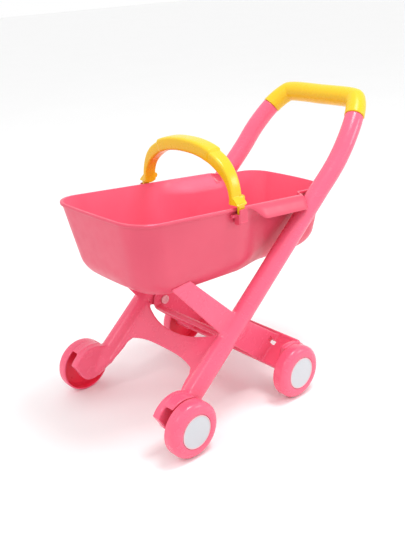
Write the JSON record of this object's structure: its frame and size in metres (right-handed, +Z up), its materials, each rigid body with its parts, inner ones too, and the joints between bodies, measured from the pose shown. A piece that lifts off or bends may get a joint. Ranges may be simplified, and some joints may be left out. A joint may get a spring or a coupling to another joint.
{
  "type": "doll stroller",
  "caption": "Doll stroller: a push frame on wheels with a folding rear frame and a lift-off tub that has its own carry handle.",
  "frame": {"origin": "on the floor, at the centre of the whole stroller's footprint box", "axes": "+Z up, -Y towards the front wheels, +Y towards the push handle, +X across, towards the side with the right-hand pieces"},
  "size_m": [0.3492, 0.5889, 0.524],
  "materials": {
    "pink_frame": "satin moulded plastic",
    "pink_tub": "satin moulded plastic",
    "yellow_plastic": "satin moulded plastic",
    "grey_cap": "matte moulded plastic",
    "steel": "drawn steel"
  },
  "bodies": {
    "front_frame": {"right_push_tube": "pink_frame", "left_push_tube": "pink_frame", "right_leg_end": "pink_frame", "left_leg_end": "pink_frame", "right_support_arm": "pink_frame", "left_support_arm": "pink_frame", "right_pivot_lug": "pink_frame", "left_pivot_lug": "pink_frame", "right_pivot_pin": "pink_frame", "left_pivot_pin": "pink_frame", "front_web": "pink_frame", "handle_core": "pink_frame", "grip_cover": "yellow_plastic", "right_front_axle": "steel", "left_front_axle": "steel", "front_right_push_nut": "steel", "front_left_push_nut": "steel"},
    "rear_frame": {"right_rear_arm": "pink_frame", "left_rear_arm": "pink_frame", "rear_panel": "pink_frame", "stop_bar": "pink_frame", "rear_axle": "steel", "rear_right_push_nut": "steel", "rear_left_push_nut": "steel"},
    "front_right_roller": {"front_right_wheel": "pink_frame", "front_right_cap": "grey_cap"},
    "front_left_roller": {"front_left_wheel": "pink_frame", "front_left_cap": "grey_cap"},
    "rear_right_roller": {"rear_right_wheel": "pink_frame", "rear_right_cap": "grey_cap"},
    "rear_left_roller": {"rear_left_wheel": "pink_frame", "rear_left_cap": "grey_cap"},
    "tub_body": {"tub": "pink_tub", "right_handle_socket": "pink_tub", "left_handle_socket": "pink_tub", "right_handle_pin": "pink_tub", "left_handle_pin": "pink_tub"},
    "carry_handle_body": {"carry_handle": "yellow_plastic"}
  },
  "joints": [
    {"name": "rear_frame_fold", "type": "hinge", "parent": "front_frame", "child": "rear_frame", "pos_m": [0, -0.0807, 0.151], "axis": [1, 0, 0], "range_deg": [-65, 0]},
    {"name": "front_right_wheel_spin", "type": "hinge", "parent": "front_frame", "child": "front_right_roller", "pos_m": [0.161, -0.2427, 0.05], "axis": [1, 0, 0], "continuous": true},
    {"name": "front_left_wheel_spin", "type": "hinge", "parent": "front_frame", "child": "front_left_roller", "pos_m": [-0.161, -0.2427, 0.05], "axis": [1, 0, 0], "continuous": true},
    {"name": "rear_right_wheel_spin", "type": "hinge", "parent": "rear_frame", "child": "rear_right_roller", "pos_m": [0.161, 0.0157, 0.05], "axis": [1, 0, 0], "continuous": true},
    {"name": "rear_left_wheel_spin", "type": "hinge", "parent": "rear_frame", "child": "rear_left_roller", "pos_m": [-0.161, 0.0157, 0.05], "axis": [1, 0, 0], "continuous": true},
    {"name": "tub_lift", "type": "slide", "parent": "front_frame", "child": "tub_body", "axis": [0, 0, 1], "range_m": [0, 0.12]},
    {"name": "carry_handle_swing", "type": "hinge", "parent": "tub_body", "child": "carry_handle_body", "pos_m": [0, -0.0802, 0.37], "axis": [1, 0, 0], "range_deg": [-18, 18]}
  ]
}
